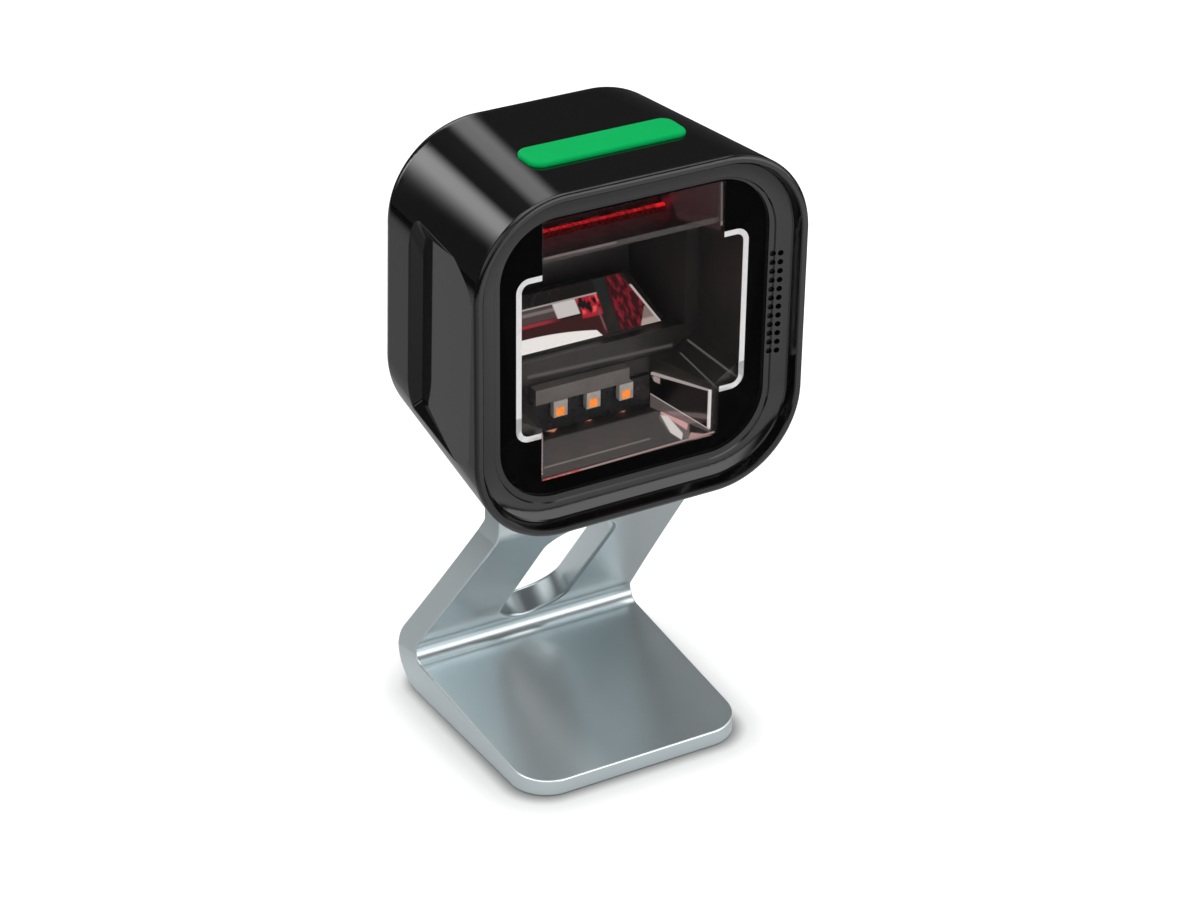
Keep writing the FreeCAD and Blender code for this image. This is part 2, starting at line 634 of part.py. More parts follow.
def frustum(y0, section0, y1, section1):
    """Loft between two rectangles, each (half width, z low, z high)."""
    def ring(y, half_x, z0, z1):
        return polygon_wire([Vector(-half_x, y, z0), Vector(half_x, y, z0),
                             Vector(half_x, y, z1), Vector(-half_x, y, z1)])
    return loft(ring(y0, *section0), ring(y1, *section1))


def light_cavity():
    """Lower light box, middle cavity, the join between them and the deep rear cavity."""
    lower = frustum(CAVITY_Y0, (21.7, LIGHTBOX_Z0, -18.4), CAVITY_Y1, (16.0, LIGHTBOX_Z0, -19.2))
    middle = polygon_prism(MIDDLE_CAVITY, "y", CAVITY_Y0, 24.9)
    above_roof = [(CAVITY_Y0 - 1, 22.9), (24.95, 18.1), (24.95, 30), (CAVITY_Y0 - 1, 30)]
    middle = middle.cut(polygon_prism(above_roof, "x", -35, 35))
    join = frustum(CAVITY_Y0, (21.7, -18.6, -16.0), CAVITY_Y1, (16.0, -19.4, -16.0))
    deep = frustum(24.5, (25.2, -11.2, 18.0), 44.0, (21.5, -11.2, 18.0))
    return fuse(lower, middle, join, deep)


def chassis_lug(x, z):
    side = 1 if x > 0 else -1
    web = box(*span(side, 29.5, abs(x)), LUG_Y0, LUG_Y1, z - LUG_R, z + LUG_R)
    return cyl_y(LUG_R, LUG_Y0, LUG_Y1, x, z).fuse(web)


def optical_chassis():
    cavity = light_cavity()
    upper = frustum(CAVITY_Y0, (21.6, 23.8, 32.8), CAVITY_Y1, (17.8, 19.2, 31.6))
    chassis = fuse(box(-31, 31, CHASSIS_Y, 26.0, -30.3, 33.6),
                   box(-27.6, 27.6, 20.0, 45.5, -13.5, 20.2))
    chassis = chassis.common(inner_space(6.0, 0.7))
    chassis = chassis.cut(cavity).cut(upper)
    for side in SIDES:               # relief pockets keep the walls thin
        chassis = chassis.cut(box(*span(side, 24.0, 33), 9.6, 27.0, -31.0, -19.9))
        chassis = chassis.cut(box(*span(side, 24.2, 33), 9.6, 27.0, 26.0, 34.5))
    chassis = fuse(chassis, *[chassis_lug(x, z) for x, z in CHASSIS_SCREWS])
    chassis = chassis.cut(cavity).cut(upper)
    for x, z in CHASSIS_SCREWS:
        chassis = chassis.cut(cyl_y(0.8, 7, 11, x, z))
    # standoffs for the main board
    chassis = fuse(chassis, *[cyl_y(2.2, 45.0, MAIN_BOARD_Y0, x, z)
                              for x, z in MAIN_BOARD_SCREWS])
    for x, z in MAIN_BOARD_SCREWS:
        chassis = chassis.cut(cyl_y(0.8, 44.3, 48, x, z))
    # pads under the indicator board
    return fuse(chassis, *[cyl_z(1.9, 33.0, SMALL_BOARD_Z0, x, BAR_MID_Y)
                           for x in SMALL_BOARD_HOLES_X])


save_head("optical_chassis", optical_chassis())
save_head("chassis_screws", compound([screw((x, LUG_Y1, z), (0, -1, 0), 0.8, 4.4, 1.7, 1.1)
                                      for x, z in CHASSIS_SCREWS]))

# ================================================================ fold mirror
MIRROR_LOW, MIRROR_HIGH = (27.2, -10.4), (39.0, -3.2)    # y, z of its lower and upper edge
MIRROR_LOW_X, MIRROR_HIGH_X, MIRROR_T = 20.6, 18.2, 1.1
CARRIER_Z0, CARRIER_REAR_Y = -11.2, 42.0


def fold_mirror():
    low, high = Vector(0, *MIRROR_LOW), Vector(0, *MIRROR_HIGH)
    slope = high - low
    slope.normalize()
    normal = Vector(0, -slope.z, slope.y)
    face = Part.Face(polygon_wire([low + Vector(-MIRROR_LOW_X, 0, 0),
                                   low + Vector(MIRROR_LOW_X, 0, 0),
                                   high + Vector(MIRROR_HIGH_X, 0, 0),
                                   high + Vector(-MIRROR_HIGH_X, 0, 0)]))
    return face.extrude(normal * MIRROR_T)


save_head("fold_mirror", fold_mirror())
save_head("mirror_carrier", polygon_prism(
    [(MIRROR_LOW[0], CARRIER_Z0), (CARRIER_REAR_Y, CARRIER_Z0),
     (CARRIER_REAR_Y, MIRROR_HIGH[1]), MIRROR_HIGH, MIRROR_LOW], "x", -16, 16))

# ================================================================ lower light box
LAMP_XS = (-8.4, 0.0, 8.4)
LAMP_BOARD_Y0 = 23.4


def side_reflector(side):
    front, rear = (side * 21.7, CHASSIS_Y + 0.2), (side * 16.13, 23.2)
    inward = -side * 0.6
    plate = polygon_prism([front, rear, (rear[0] + inward, rear[1]),
                           (front[0] + inward, front[1])], "z", LIGHTBOX_Z0, LIGHTBOX_Z0 + 12)
    above = box(-40, 40, 0, 40, 0, 20)
    above.rotate(ORIGIN, X_DIR, -6.0)
    above.translate(Vector(0, CHASSIS_Y, -18.7))
    within = frustum(CAVITY_Y0, (21.7, LIGHTBOX_Z0, -17.0), CAVITY_Y1, (16.0, LIGHTBOX_Z0, -17.0))
    return plate.cut(above).common(within)


def lamp_lens(x, y0):
    return box(x - 1.1, x + 1.1, y0, 22.3, -24.6, -22.5)


def lower_lamp(x):
    return box(x - 1.75, x + 1.75, 21.8, LAMP_BOARD_Y0, -24.8, -20.8).cut(lamp_lens(x, 21.0))


save_head("side_reflectors", compound([side_reflector(side) for side in SIDES]))
save_head("lower_lamp_board", box(-15.4, 15.4, LAMP_BOARD_Y0, 24.6, -28.6, -21.0))
save_head("lower_lamps", compound([lower_lamp(x) for x in LAMP_XS]))
save_head("lower_lamp_lenses", compound([lamp_lens(x, 21.9) for x in LAMP_XS]))
save_head("lamp_hood", box(-14.6, 9.2, 21.9, 24.55, -20.7, -17.0).cut(
    box(-13.8, 8.4, 22.7, 25, -30, -17.6)))

# ================================================================ upper light box
UPPER_BOARD_Y0, UPPER_LAMP_PITCH = 23.3, 6.8
save_head("upper_lamp_board", box(-17.2, 17.2, UPPER_BOARD_Y0, 24.5, 19.9, 30.6))
save_head("upper_lamps", compound([
    box(i * UPPER_LAMP_PITCH - 1.7, i * UPPER_LAMP_PITCH + 1.7, 22.2, UPPER_BOARD_Y0, 20.2, 21.5)
    for i in range(-2, 3)]))
save_head("upper_diffuser", box(-17.0, 17.0, 21.2, 22.1, 20.05, 21.8))

# ================================================================ camera
# looks down and forward at the fold mirror
CAMERA_AT = Vector(0, 39.4, 13.4)
CAMERA_DIR = Vector(0, -0.472, -0.8816)
CAMERA_DIR.normalize()
LENS_R, GLASS_R = 3.2, 2.3


def camera_box(half_a, half_b, start, end):
    """Box square to the camera axis, between two distances along it."""
    shape = Part.makeBox(2 * half_a, 2 * half_b, end - start, Vector(-half_a, -half_b, start))
    turn = FreeCAD.Rotation(X_DIR, Vector(0, CAMERA_DIR.z, -CAMERA_DIR.y), CAMERA_DIR, "ZXY")
    shape.Placement = FreeCAD.Placement(CAMERA_AT, turn)
    return shape


def camera_cyl(radius, start, end):
    return Part.makeCylinder(radius, end - start, CAMERA_AT + CAMERA_DIR * start, CAMERA_DIR)


save_head("camera_board", camera_box(8.0, 3.9, -0.9, 0.0))
save_head("image_sensor", camera_box(3.2, 2.6, 0.0, 0.9))
save_head("lens_holder", camera_box(5.4, 3.9, 0.0, 5.4).cut(
    camera_box(4.2, 3.2, -0.1, 1.2)).cut(camera_cyl(LENS_R, 1.0, 6.2)))
save_head("lens_barrel", camera_cyl(LENS_R, 1.4, 7.4).cut(camera_cyl(GLASS_R, 1.0, 8.0)))
save_head("lens_glass", camera_cyl(GLASS_R, 5.2, 6.6))

# ================================================================ boards at the back
# columns: x0, x1, y0, y1, z0, z1
MEMORY_CHIPS = [
    (7.5, 15.0, MAIN_BOARD_Y1, 49.1, 8.5, 14.0),
    (7.5, 15.0, MAIN_BOARD_Y1, 49.1, 16.5, 22.0),
    (-4.0, 1.5, MAIN_BOARD_Y1, 49.0, -6.0, -1.0),
]
CONNECTORS = [
    (-14.0, -8.0, MAIN_BOARD_Y1, 49.9, -12.4, -9.8),
    (-3.5, 3.5, 45.4, MAIN_BOARD_Y0, 24.0, 26.4),
    (8.0, 14.0, MAIN_BOARD_Y1, 49.9, -12.4, -9.8),
]
CONTACT_X0, CONTACT_PITCH, CONTACT_COUNT, CONTACT_HALF = -4.6, 1.02, 10, 0.15
SOCKET_Y = 43.0                      # inner end of the port's socket


def main_board():
    board = rrect_prism(25.0, 21.6, 2.0, "y", MAIN_BOARD_Y0, MAIN_BOARD_Y1, 0, 8.4)
    for x, z in MAIN_BOARD_SCREWS:
        board = board.cut(cyl_y(0.85, 46, 50, x, z))
    return board


def host_port():
    port = box(-PORT_X, PORT_X, PORT_Y0, 53.2, PORT_Z0, PORT_Z1)
    port = port.cut(box(-5.9, 5.9, SOCKET_Y, 60, -26.4, -18.6))
    return port.cut(box(-2.4, 2.4, SOCKET_Y, 60, -27.2, -26.0))


def port_contact(i):
    x = CONTACT_X0 + i * CONTACT_PITCH
    return box(x - CONTACT_HALF, x + CONTACT_HALF, SOCKET_Y, 51.0, -19.2, -18.9)


save_head("main_board", main_board())
save_head("main_board_screws", compound([
    screw((x, MAIN_BOARD_Y1, z), (0, -1, 0), 0.8, 3.6, 1.7, 1.1) for x, z in MAIN_BOARD_SCREWS]))
save_head("processor_shield", rrect_prism(9.0, 8.0, 0.8, "y", MAIN_BOARD_Y1, 49.7, -6.0, 14.0))
save_head("memory_chips", compound([box(*limits) for limits in MEMORY_CHIPS]))
save_head("board_connectors", compound([box(*limits) for limits in CONNECTORS]))
save_head("port_board", box(-10.5, 10.5, 39.1, PORT_Y0, -29.0, -16.6))
save_head("host_port", host_port())
save_head("port_contacts", compound([port_contact(i) for i in range(CONTACT_COUNT)]))

# ================================================================ speaker behind the grille
MESH_Y0, MESH_Y1 = 4.60, 4.85
save_head("grille_mesh", box(33.3, 37.2, MESH_Y0, MESH_Y1, -12.5, 14.9))
save_head("speaker", rrect_prism(1.85, 13.4, 1.2, "y", MESH_Y1, FILM_Y1 + 0.1, 35.25, 1.2).fuse(
    box(32.4, 37.1, FILM_Y1 + 0.1, 7.9, -12.2, 14.6)).removeSplitter())

# ================================================================ tilt bracket and pin
PLATE_T = 1.6
EAR_X0, EAR_X1, EAR_R = 20.0, 21.6, 4.5
WASHER_T, SPRING_T = 0.35, 0.5
NUT_R, NUT_T = 3.9, 2.2


def hinge_cyl(radius, x0, x1):
    return cyl_x(radius, x0, x1, HINGE_Y, HINGE_Z)


def drilled(shape):
    """Shape with the pin's hole through it."""
    return shape.cut(hinge_cyl(PIN_R, -40, 40))


def bracket_ear(side):
    x0, x1 = span(side, EAR_X0, EAR_X1)
    upright = box(x0, x1, HINGE_Y - EAR_R, HINGE_Y + EAR_R, HINGE_Z, BRACKET_Z0 + 0.5)
    return upright.fuse(hinge_cyl(EAR_R, x0, x1))


def tilt_bracket():
    plate = box(-EAR_X1, EAR_X1, HINGE_Y - 12.0, HINGE_Y + 12.0,
                BRACKET_Z0, BRACKET_Z0 + PLATE_T)
    bracket = drilled(fuse(plate, *[bracket_ear(side) for side in SIDES]))
    for x, y in BRACKET_SCREWS:
        bracket = bracket.cut(cyl_z(0.95, BRACKET_Z0 - 1, BRACKET_Z0 + 3, x, y))
    return bracket


def tilt_nut():
    angles = [math.radians(60 * i + 30) for i in range(6)]
    points = [(HINGE_Y + NUT_R * math.cos(a), HINGE_Z + NUT_R * math.sin(a)) for a in angles]
    start = EAR_X1 + SPRING_T
    return drilled(polygon_prism(points, "x", start, start + NUT_T))


save_head("tilt_bracket", tilt_bracket())
save_head("bracket_screws", compound([
    screw((x, y, BRACKET_Z0 + PLATE_T), (0, 0, -1), 0.9, 5.6, 1.9, 1.1)
    for x, y in BRACKET_SCREWS]))
save_head("tilt_pin", hinge_cyl(PIN_R, -EAR_X1 - 0.2, EAR_X1 + 3.0).fuse(
    hinge_cyl(3.2, -EAR_X1 - 1.6, -EAR_X1)).removeSplitter())
save_head("friction_washers", compound([
    drilled(hinge_cyl(4.1, *span(side, EAR_X0 - WASHER_T, EAR_X0))) for side in SIDES]))
save_head("spring_washer", drilled(hinge_cyl(3.6, EAR_X1, EAR_X1 + SPRING_T)))
save_head("tilt_nut", tilt_nut())

# ================================================================ rear cover
COVER_FACE = -0.2                    # outer face of the cover from the back plane
COVER_SEAT = -1.4                    # floor of the screw counterbores


def rear_cover():
    cover = rrect_prism(COVER_X, COVER_Z, COVER_R, "y", COVER_FACE - COVER_T, COVER_FACE)
    for x, z in COVER_SCREWS:
        cover = cover.cut(cyl_y(0.95, -5, 1, x, z)).cut(cyl_y(2.1, COVER_SEAT, 1, x, z))
    return onto_back(cover).cut(port_opening())


save_head("rear_cover", rear_cover())
save_head("cover_screws", compound([
    onto_back(screw((x, COVER_SEAT, z), (0, -1, 0), 0.9, 2.9, 1.8, 1.1))
    for x, z in COVER_SCREWS]))
save_head("blank_label", onto_back(
    rrect_prism(15.0, 9.0, 1.0, "y", COVER_FACE, -0.05, 0, 4.0)))
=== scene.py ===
# An optical head with a window in its front, tilted on a cast stand that rests on a pale floor.
# Metres, +Z up. The front faces -Y, left is -X, and the floor lies at z = 0.
# Painted light and the lamp strip inside the head are drawn in its own frame, in millimetres:
# side (+ right), depth (+ towards the back) and height.
import math

import bmesh
import bpy
from mathutils import Matrix, Vector

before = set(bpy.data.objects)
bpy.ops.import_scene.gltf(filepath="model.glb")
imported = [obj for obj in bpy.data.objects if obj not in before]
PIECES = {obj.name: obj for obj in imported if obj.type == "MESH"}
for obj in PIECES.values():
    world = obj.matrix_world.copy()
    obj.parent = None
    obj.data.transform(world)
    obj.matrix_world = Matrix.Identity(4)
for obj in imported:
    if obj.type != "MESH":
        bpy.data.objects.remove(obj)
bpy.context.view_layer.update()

scene = bpy.context.scene

MM_PER_M = 1000.0
HEAD_PITCH = math.radians(1.477)
HEAD_ORIGIN = Vector((0.0, -0.03298, 0.10827))
HEAD_FRAME = Matrix.Translation(HEAD_ORIGIN) @ Matrix.Rotation(HEAD_PITCH, 4, "X")
WORLD_TO_HEAD = HEAD_FRAME.inverted()
WINDOW_DEPTH = 4.08                      # mm, plane on which the painted inner light is drawn

CAMERA_PLACE = Vector((-0.31542, -0.56588, 0.41398))
CAMERA_RIGHT = Vector((0.86841, -0.49583, 0.0))
CAMERA_UP = Vector((0.23333, 0.40867, 0.88235))
CAMERA_LOOK = Vector((0.43750, 0.76624, -0.47059))
EYE = MM_PER_M * (WORLD_TO_HEAD @ CAMERA_PLACE)      # camera in the head's frame, mm

FLOOR_RADIUS = 0.62
FLOOR_SEGMENTS = 96


# ------------------------------------------------------------------ node helpers
class Tree:
    """Adds shader nodes to a node tree and links them."""

    def __init__(self, node_tree):
        self.node_tree = node_tree

    def add(self, kind, props=None, **inputs):
        node = self.node_tree.nodes.new(kind)
        for key, value in (props or {}).items():
            setattr(node, key, value)
        for key, value in inputs.items():
            self.set(node, key.replace("_", " "), value)
        return node

    def set(self, node, key, value):
        """Link a socket to an input, or give the input a plain value."""
        socket = node.inputs[key]
        if isinstance(value, bpy.types.NodeSocket):
            self.node_tree.links.new(value, socket)
        elif isinstance(value, tuple) and socket.type == "RGBA" and len(value) == 3:
            socket.default_value = (*value, 1.0)
        else:
            socket.default_value = value

    def math(self, operation, *values):
        node = self.add("ShaderNodeMath", {"operation": operation})
        for i, value in enumerate(values):
            self.set(node, i, value)
        return node.outputs[0]

    def product(self, *masks):
        """All masks multiplied together, last pair first."""
        if len(masks) == 1:
            return masks[0]
        return self.math("MULTIPLY", masks[0], self.product(*masks[1:]))

    def ramp(self, x, start, rate):
        """(x - start) * rate"""
        return self.math("MULTIPLY", self.math("SUBTRACT", x, start), rate)

    def lean(self, x, z, rate, operation="ADD"):
        """x + z * rate, which is constant along a leaning line."""
        return self.math(operation, x, self.math("MULTIPLY", z, rate))

    def smooth(self, x, low, high, at_low=0.0, at_high=1.0):
        """Ease from at_low to at_high while x goes from low to high."""
        node = self.add("ShaderNodeMapRange", {"interpolation_type": "SMOOTHSTEP"},
                        Value=x, From_Min=low, From_Max=high, To_Min=at_low, To_Max=at_high)
        return node.outputs[0]

    def fall(self, x, low, high):
        """1 below low, 0 above high."""
        return self.smooth(x, low, high, 1.0, 0.0)

    def window(self, x, low, high, soft):
        """1 between low and high, 0 outside, with soft sides."""
        return self.math("MULTIPLY", self.smooth(x, low - soft / 2, low + soft / 2),
                         self.fall(x, high - soft / 2, high + soft / 2))

    def mix_color(self, factor, color_a, color_b):
        node = self.add("ShaderNodeMix", {"data_type": "RGBA", "blend_type": "MIX"})
        for key, value in ((0, factor), (6, color_a), (7, color_b)):
            self.set(node, key, value)
        return node.outputs[2]

    def join_shaders(self, kind, *inputs):
        """An Add or Mix shader node fed in input order."""
        node = self.add(kind)
        for i, value in enumerate(inputs):
            self.set(node, i, value)
        return node.outputs[0]

    def noise(self, vector, scale, detail, roughness):
        return self.add("ShaderNodeTexNoise", {}, Vector=vector, Scale=scale, Detail=detail,
                        Roughness=roughness).outputs["Fac"]

    def combine(self, x, y, z=0.0):
        return self.add("ShaderNodeCombineXYZ", {}, X=x, Y=y, Z=z).outputs[0]

    def separate(self, vector):
        return self.add("ShaderNodeSeparateXYZ", {}, Vector=vector).outputs

    def object_coords(self):
        return self.add("ShaderNodeTexCoord").outputs["Object"]

    def head_coords(self):
        """side, depth and height in mm in the frame of the head at rest."""
        node = self.add(
            "ShaderNodeMapping", {"vector_type": "POINT"}, Vector=self.object_coords(),
            Location=tuple(MM_PER_M * c for c in WORLD_TO_HEAD.to_translation()),
            Rotation=tuple(WORLD_TO_HEAD.to_euler()), Scale=(MM_PER_M,) * 3)
        return self.separate(node.outputs[0])

    def sight_coords(self):
        """x and z in mm where the camera sees a point through the window plane, and its depth."""
        side, depth, height = self.head_coords()
        shrink = self.math("DIVIDE", WINDOW_DEPTH - EYE.y, self.math("SUBTRACT", depth, EYE.y))
        x = self.math("ADD", self.ramp(side, EYE.x, shrink), EYE.x)
        z = self.math("ADD", self.ramp(height, EYE.z, shrink), EYE.z)
        return x, z, depth

    def output(self, socket, kind="ShaderNodeOutputMaterial"):
        self.set(self.add(kind), 0, socket)


def fresh_tree(block):
    """Empty the node tree of a material or world."""
    block.use_nodes = True
    block.node_tree.nodes.clear()
    return Tree(block.node_tree)


def new_material(name, pieces=()):
    """A material with an empty tree, worn by the named pieces."""
    mat = bpy.data.materials.new(name)
    for piece in pieces:
        slots = PIECES[piece].data.materials
        slots.clear()
        slots.append(mat)
    return mat, fresh_tree(mat)


def scaled(color, factor):
    return tuple(c * factor for c in color)


# ------------------------------------------------------------------ surface finishes
def surface(name, color, color_spread, roughness, roughness_spread, grain_scale,
            bump_scale, bump_height, extras, pieces):
    """Finish with noisy colour and roughness and one layer of fine bump."""
    mat, tree = new_material(name, pieces)
    place = tree.object_coords()
    coarse = tree.noise(place, grain_scale, detail=4.0, roughness=0.6)
    fine = tree.noise(place, grain_scale * 5.3, detail=3.0, roughness=0.55)
    grain = tree.math("ADD", tree.math("MULTIPLY", coarse, 0.6), tree.math("MULTIPLY", fine, 0.4))
    base = tree.mix_color(tree.smooth(grain, 0.3, 0.7), scaled(color, 1 - color_spread),
                          scaled(color, 1 + color_spread))
    rough = tree.smooth(fine, 0.25, 0.75, roughness - roughness_spread,
                        roughness + roughness_spread)
    bump = tree.add("ShaderNodeBump", {}, Strength=1.0, Distance=bump_height,
                    Height=tree.noise(place, bump_scale, detail=2.0, roughness=0.5))
    shader = tree.add("ShaderNodeBsdfPrincipled", {}, Base_Color=base, Roughness=rough, IOR=1.5,
                      Coat_Roughness=0.05, Normal=bump.outputs[0], **extras)
    tree.output(shader.outputs[0])
    mat["principled"] = shader.name      # lets reopen() find the shader
    return mat


def reopen(mat):
    """The tree and main shader of a surface() material."""
    return Tree(mat.node_tree), mat.node_tree.nodes[mat["principled"]]


METAL = {"Metallic": 1.0}
WAXY = {"Subsurface_Weight": 0.1, "Subsurface_Radius": (0.002, 0.004, 0.002),
        "Subsurface_Scale": 0.5}

# Name, colour, / colour spread, roughness, roughness spread, grain scale,
# bump scale, bump height in m, extra shader inputs, / pieces.
FINISHES = (
    ("gloss_black_shell", (0.0023, 0.0023, 0.0022),
     0.15, 0.045, 0.012, 30, 240.0, 1.6e-7, {}, ("housing_shell",)),
    ("gloss_black_bezel", (0.0024, 0.0023, 0.0022),
     0.15, 0.11, 0.02, 40, 320.0, 3.0e-7, {}, ("front_bezel",)),
    ("satin_zinc_casting", (0.440, 0.495, 0.512),
     0.015, 0.29, 0.015, 18, 5200.0, 1.5e-7, {"Metallic": 0.90}, ("stand_casting",)),
    ("green_button", (0.0006, 0.385, 0.092),
     0.03, 0.34, 0.03, 60, 600.0, 5.0e-7, {"Specular_IOR_Level": 0.03}, ("button_bar",)),
    ("rubber_foot", (0.018, 0.018, 0.018),
     0.2, 0.75, 0.08, 120, 2200.0, 1.5e-5, {}, ("foot_pad", "friction_washers")),
    ("satin_black_cover", (0.010, 0.010, 0.010),
     0.2, 0.38, 0.05, 90, 2600.0, 4.0e-6, {}, ("rear_cover",)),
    ("dark_chassis", (0.0290, 0.0258, 0.0248),
     0.18, 0.40, 0.06, 70, 1800.0, 3.0e-6, {}, ("optical_chassis", "mirror_carrier")),
    ("mask_film_black", (0.0016, 0.0016, 0.0016),
     0.2, 0.6, 0.05, 80, 900.0, 5.0e-7, {"Specular_IOR_Level": 0.0}, ("mask_film",)),
    ("frame_mark_paint", (0.74, 0.76, 0.77),
     0.05, 0.45, 0.06, 300, 2500.0, 2.0e-6, {}, ("frame_marks",)),
    ("zinc_plated_steel", (0.56, 0.56, 0.54),
     0.08, 0.33, 0.06, 160, 1500.0, 2.0e-6, METAL,
     ("tilt_bracket", "tilt_pin", "tilt_nut", "spring_washer", "bracket_screws",
      "main_board_screws", "chassis_screws")),
    ("black_oxide_screw", (0.035, 0.035, 0.036),
     0.15, 0.38, 0.08, 300, 2500.0, 2.0e-6, {"Metallic": 0.8}, ("cover_screws",)),
    ("acetal_bushing", (0.62, 0.61, 0.56),
     0.05, 0.42, 0.05, 200, 1800.0, 1.5e-6, WAXY, ("hinge_bushings", "switch_plunger")),
    ("green_board", (0.010, 0.055, 0.026),
     0.25, 0.35, 0.06, 260, 2400.0, 3.0e-6, {}, ("main_board", "indicator_board", "port_board")),
    ("black_board", (0.012, 0.012, 0.014),
     0.25, 0.32, 0.06, 260, 2400.0, 3.0e-6, {},
     ("lower_lamp_board", "upper_lamp_board", "camera_board")),
    ("epoxy_package", (0.014, 0.014, 0.015),
     0.2, 0.45, 0.08, 500, 4000.0, 2.0e-6, {},
     ("memory_chips", "image_sensor", "lens_holder", "lens_barrel", "tactile_switch", "speaker")),
    ("tinned_shield", (0.66, 0.66, 0.64),
     0.06, 0.25, 0.06, 180, 1400.0, 2.0e-6, METAL, ("processor_shield", "host_port")),
    ("gold_contact", (0.85, 0.62, 0.28),
     0.06, 0.22, 0.05, 600, 4000.0, 1.0e-6, METAL, ("port_contacts",)),
    ("ivory_nylon", (0.60, 0.57, 0.48),
     0.06, 0.45, 0.06, 300, 2500.0, 2.0e-6, {}, ("board_connectors",)),
    ("grille_cloth", (0.010, 0.010, 0.010),
     0.3, 0.8, 0.1, 900, 6000.0, 2.0e-5, {}, ("grille_mesh",)),
    ("blank_label_film", (0.55, 0.56, 0.56),
     0.05, 0.38, 0.05, 150, 1600.0, 1.0e-6, {}, ("blank_label",)),
    ("lamp_ceramic", (0.52, 0.50, 0.46),
     0.12, 0.4, 0.08, 900, 5000.0, 2.0e-6, {}, ("lower_lamps",)),
    ("lamp_hood_grey", (0.15, 0.14, 0.13),
     0.12, 0.4, 0.06, 150, 1800.0, 2.0e-6, {}, ("lamp_hood",)),
    ("reflector_metal", (0.20, 0.17, 0.17),
     0.05, 0.12, 0.03, 200, 300.0, 3.0e-6, METAL, ("side_reflectors",)),
    ("first_surface_mirror", (0.16, 0.155, 0.155),
     0.05, 0.05, 0.02, 100, 150.0, 5.0e-7, METAL, ("fold_mirror",)),
)
finishes = {row[0]: surface(*row) for row in FINISHES}


def paint_casting_highlights(mat):
    """Painted highlight on the edge rounding, and a paler painted reflection over the left of the
    foot.
    """
    tree, shader = reopen(mat)
    plain = shader.inputs["Base Color"].links[0].from_socket
    facing_up = tree.separate(tree.add("ShaderNodeNewGeometry").outputs["Normal"])[2]
    x, y, z = tree.separate(tree.object_coords())
    # Painted highlight on the rounded edges of the foot, weaker towards the back.
    edge = tree.math("MULTIPLY", tree.window(facing_up, 0.22, 0.93, soft=0.1),
                     tree.fall(z, 0.010, 0.0115))
    edge = tree.math("MULTIPLY", edge, tree.smooth(y, 0.012, 0.018, 0.95, 0.28))
    # Painted reflection: paler flat top on the left of the foot.
    pale = tree.math("MULTIPLY", tree.fall(x, -0.016, -0.005), tree.smooth(facing_up, 0.93, 0.98))
    base = tree.mix_color(pale, plain, (0.70, 0.765, 0.785))
    tree.set(shader, "Base Color", tree.mix_color(edge, base, (0.92, 0.94, 0.95)))


paint_casting_highlights(finishes["satin_zinc_casting"])


def round_corners(mat, half_size, taper, radius, growth, depth_start, depth_end):
    """Shade the four long rounded corners of the head with their exact surface direction.

    Half width and half height shrink by taper, and the radius grows by growth, per mm of depth.
    """
    tree, shader = reopen(mat)
    side, depth, height = tree.head_coords()
    corner_radius = tree.math("ADD", tree.math("MULTIPLY", depth, growth), radius)
    signs = [tree.math("SIGN", value) for value in (side, height)]

    # Distance from each corner's axis, measured across and up.
    offsets = []
    for value, half, shrink in zip((side, height), half_size, taper):
        flat = tree.math("SUBTRACT", half, tree.math("MULTIPLY", depth, shrink))
        axis = tree.math("SUBTRACT", flat, corner_radius)
        offsets.append(tree.math("SUBTRACT", tree.math("ABSOLUTE", value), axis))
    squares = [tree.math("MULTIPLY", offset, offset) for offset in offsets]
    reach = tree.math("SQRT", tree.math("ADD", *squares))
    out_side, out_up = [tree.math("DIVIDE", offset, reach) for offset in offsets]

    slopes = tree.math("ADD", tree.math("MULTIPLY", out_side, taper[0] + growth),
                       tree.math("MULTIPLY", out_up, taper[1] + growth))
    direction = tree.combine(tree.math("MULTIPLY", out_side, signs[0]),
                             tree.math("SUBTRACT", slopes, growth),
                             tree.math("MULTIPLY", out_up, signs[1]))
    pitched = tree.add("ShaderNodeVectorRotate", {"rotation_type": "X_AXIS"}, Vector=direction,
                       Angle=HEAD_PITCH).outputs[0]
    exact = tree.add("ShaderNodeVectorTransform",
                     {"vector_type": "NORMAL", "convert_from": "OBJECT", "convert_to": "WORLD"},
                     Vector=pitched).outputs[0]

    # Only on the rounded skin, past the flats and between the two depths.
    off_skin = tree.math("ABSOLUTE", tree.math("SUBTRACT", reach, corner_radius))
    mask = tree.fall(off_skin, 0.045, 0.075)
    for value, start in ((offsets[0], 0.0), (offsets[1], 0.0), (depth, depth_start)):
        mask = tree.math("MULTIPLY", mask, tree.smooth(value, start, start + 0.02))
    mask = tree.math("MULTIPLY", mask, tree.fall(depth, depth_end - 0.4, depth_end))

    mix = tree.add("ShaderNodeMix", {"data_type": "VECTOR"})
    bumped = shader.inputs["Normal"].links[0].from_socket
    for key, value in ((0, mask), (4, bumped), (5, exact)):
        tree.set(mix, key, value)
    unit = tree.add("ShaderNodeVectorMath", {"operation": "NORMALIZE"}, Vector=mix.outputs[1])
    tree.set(shader, "Normal", unit.outputs[0])


round_corners(finishes["gloss_black_shell"], half_size=(41.0, 40.75), taper=(0.096, 0.033),
              radius=21.59, growth=0.0153, depth_start=2.2, depth_end=46.0)
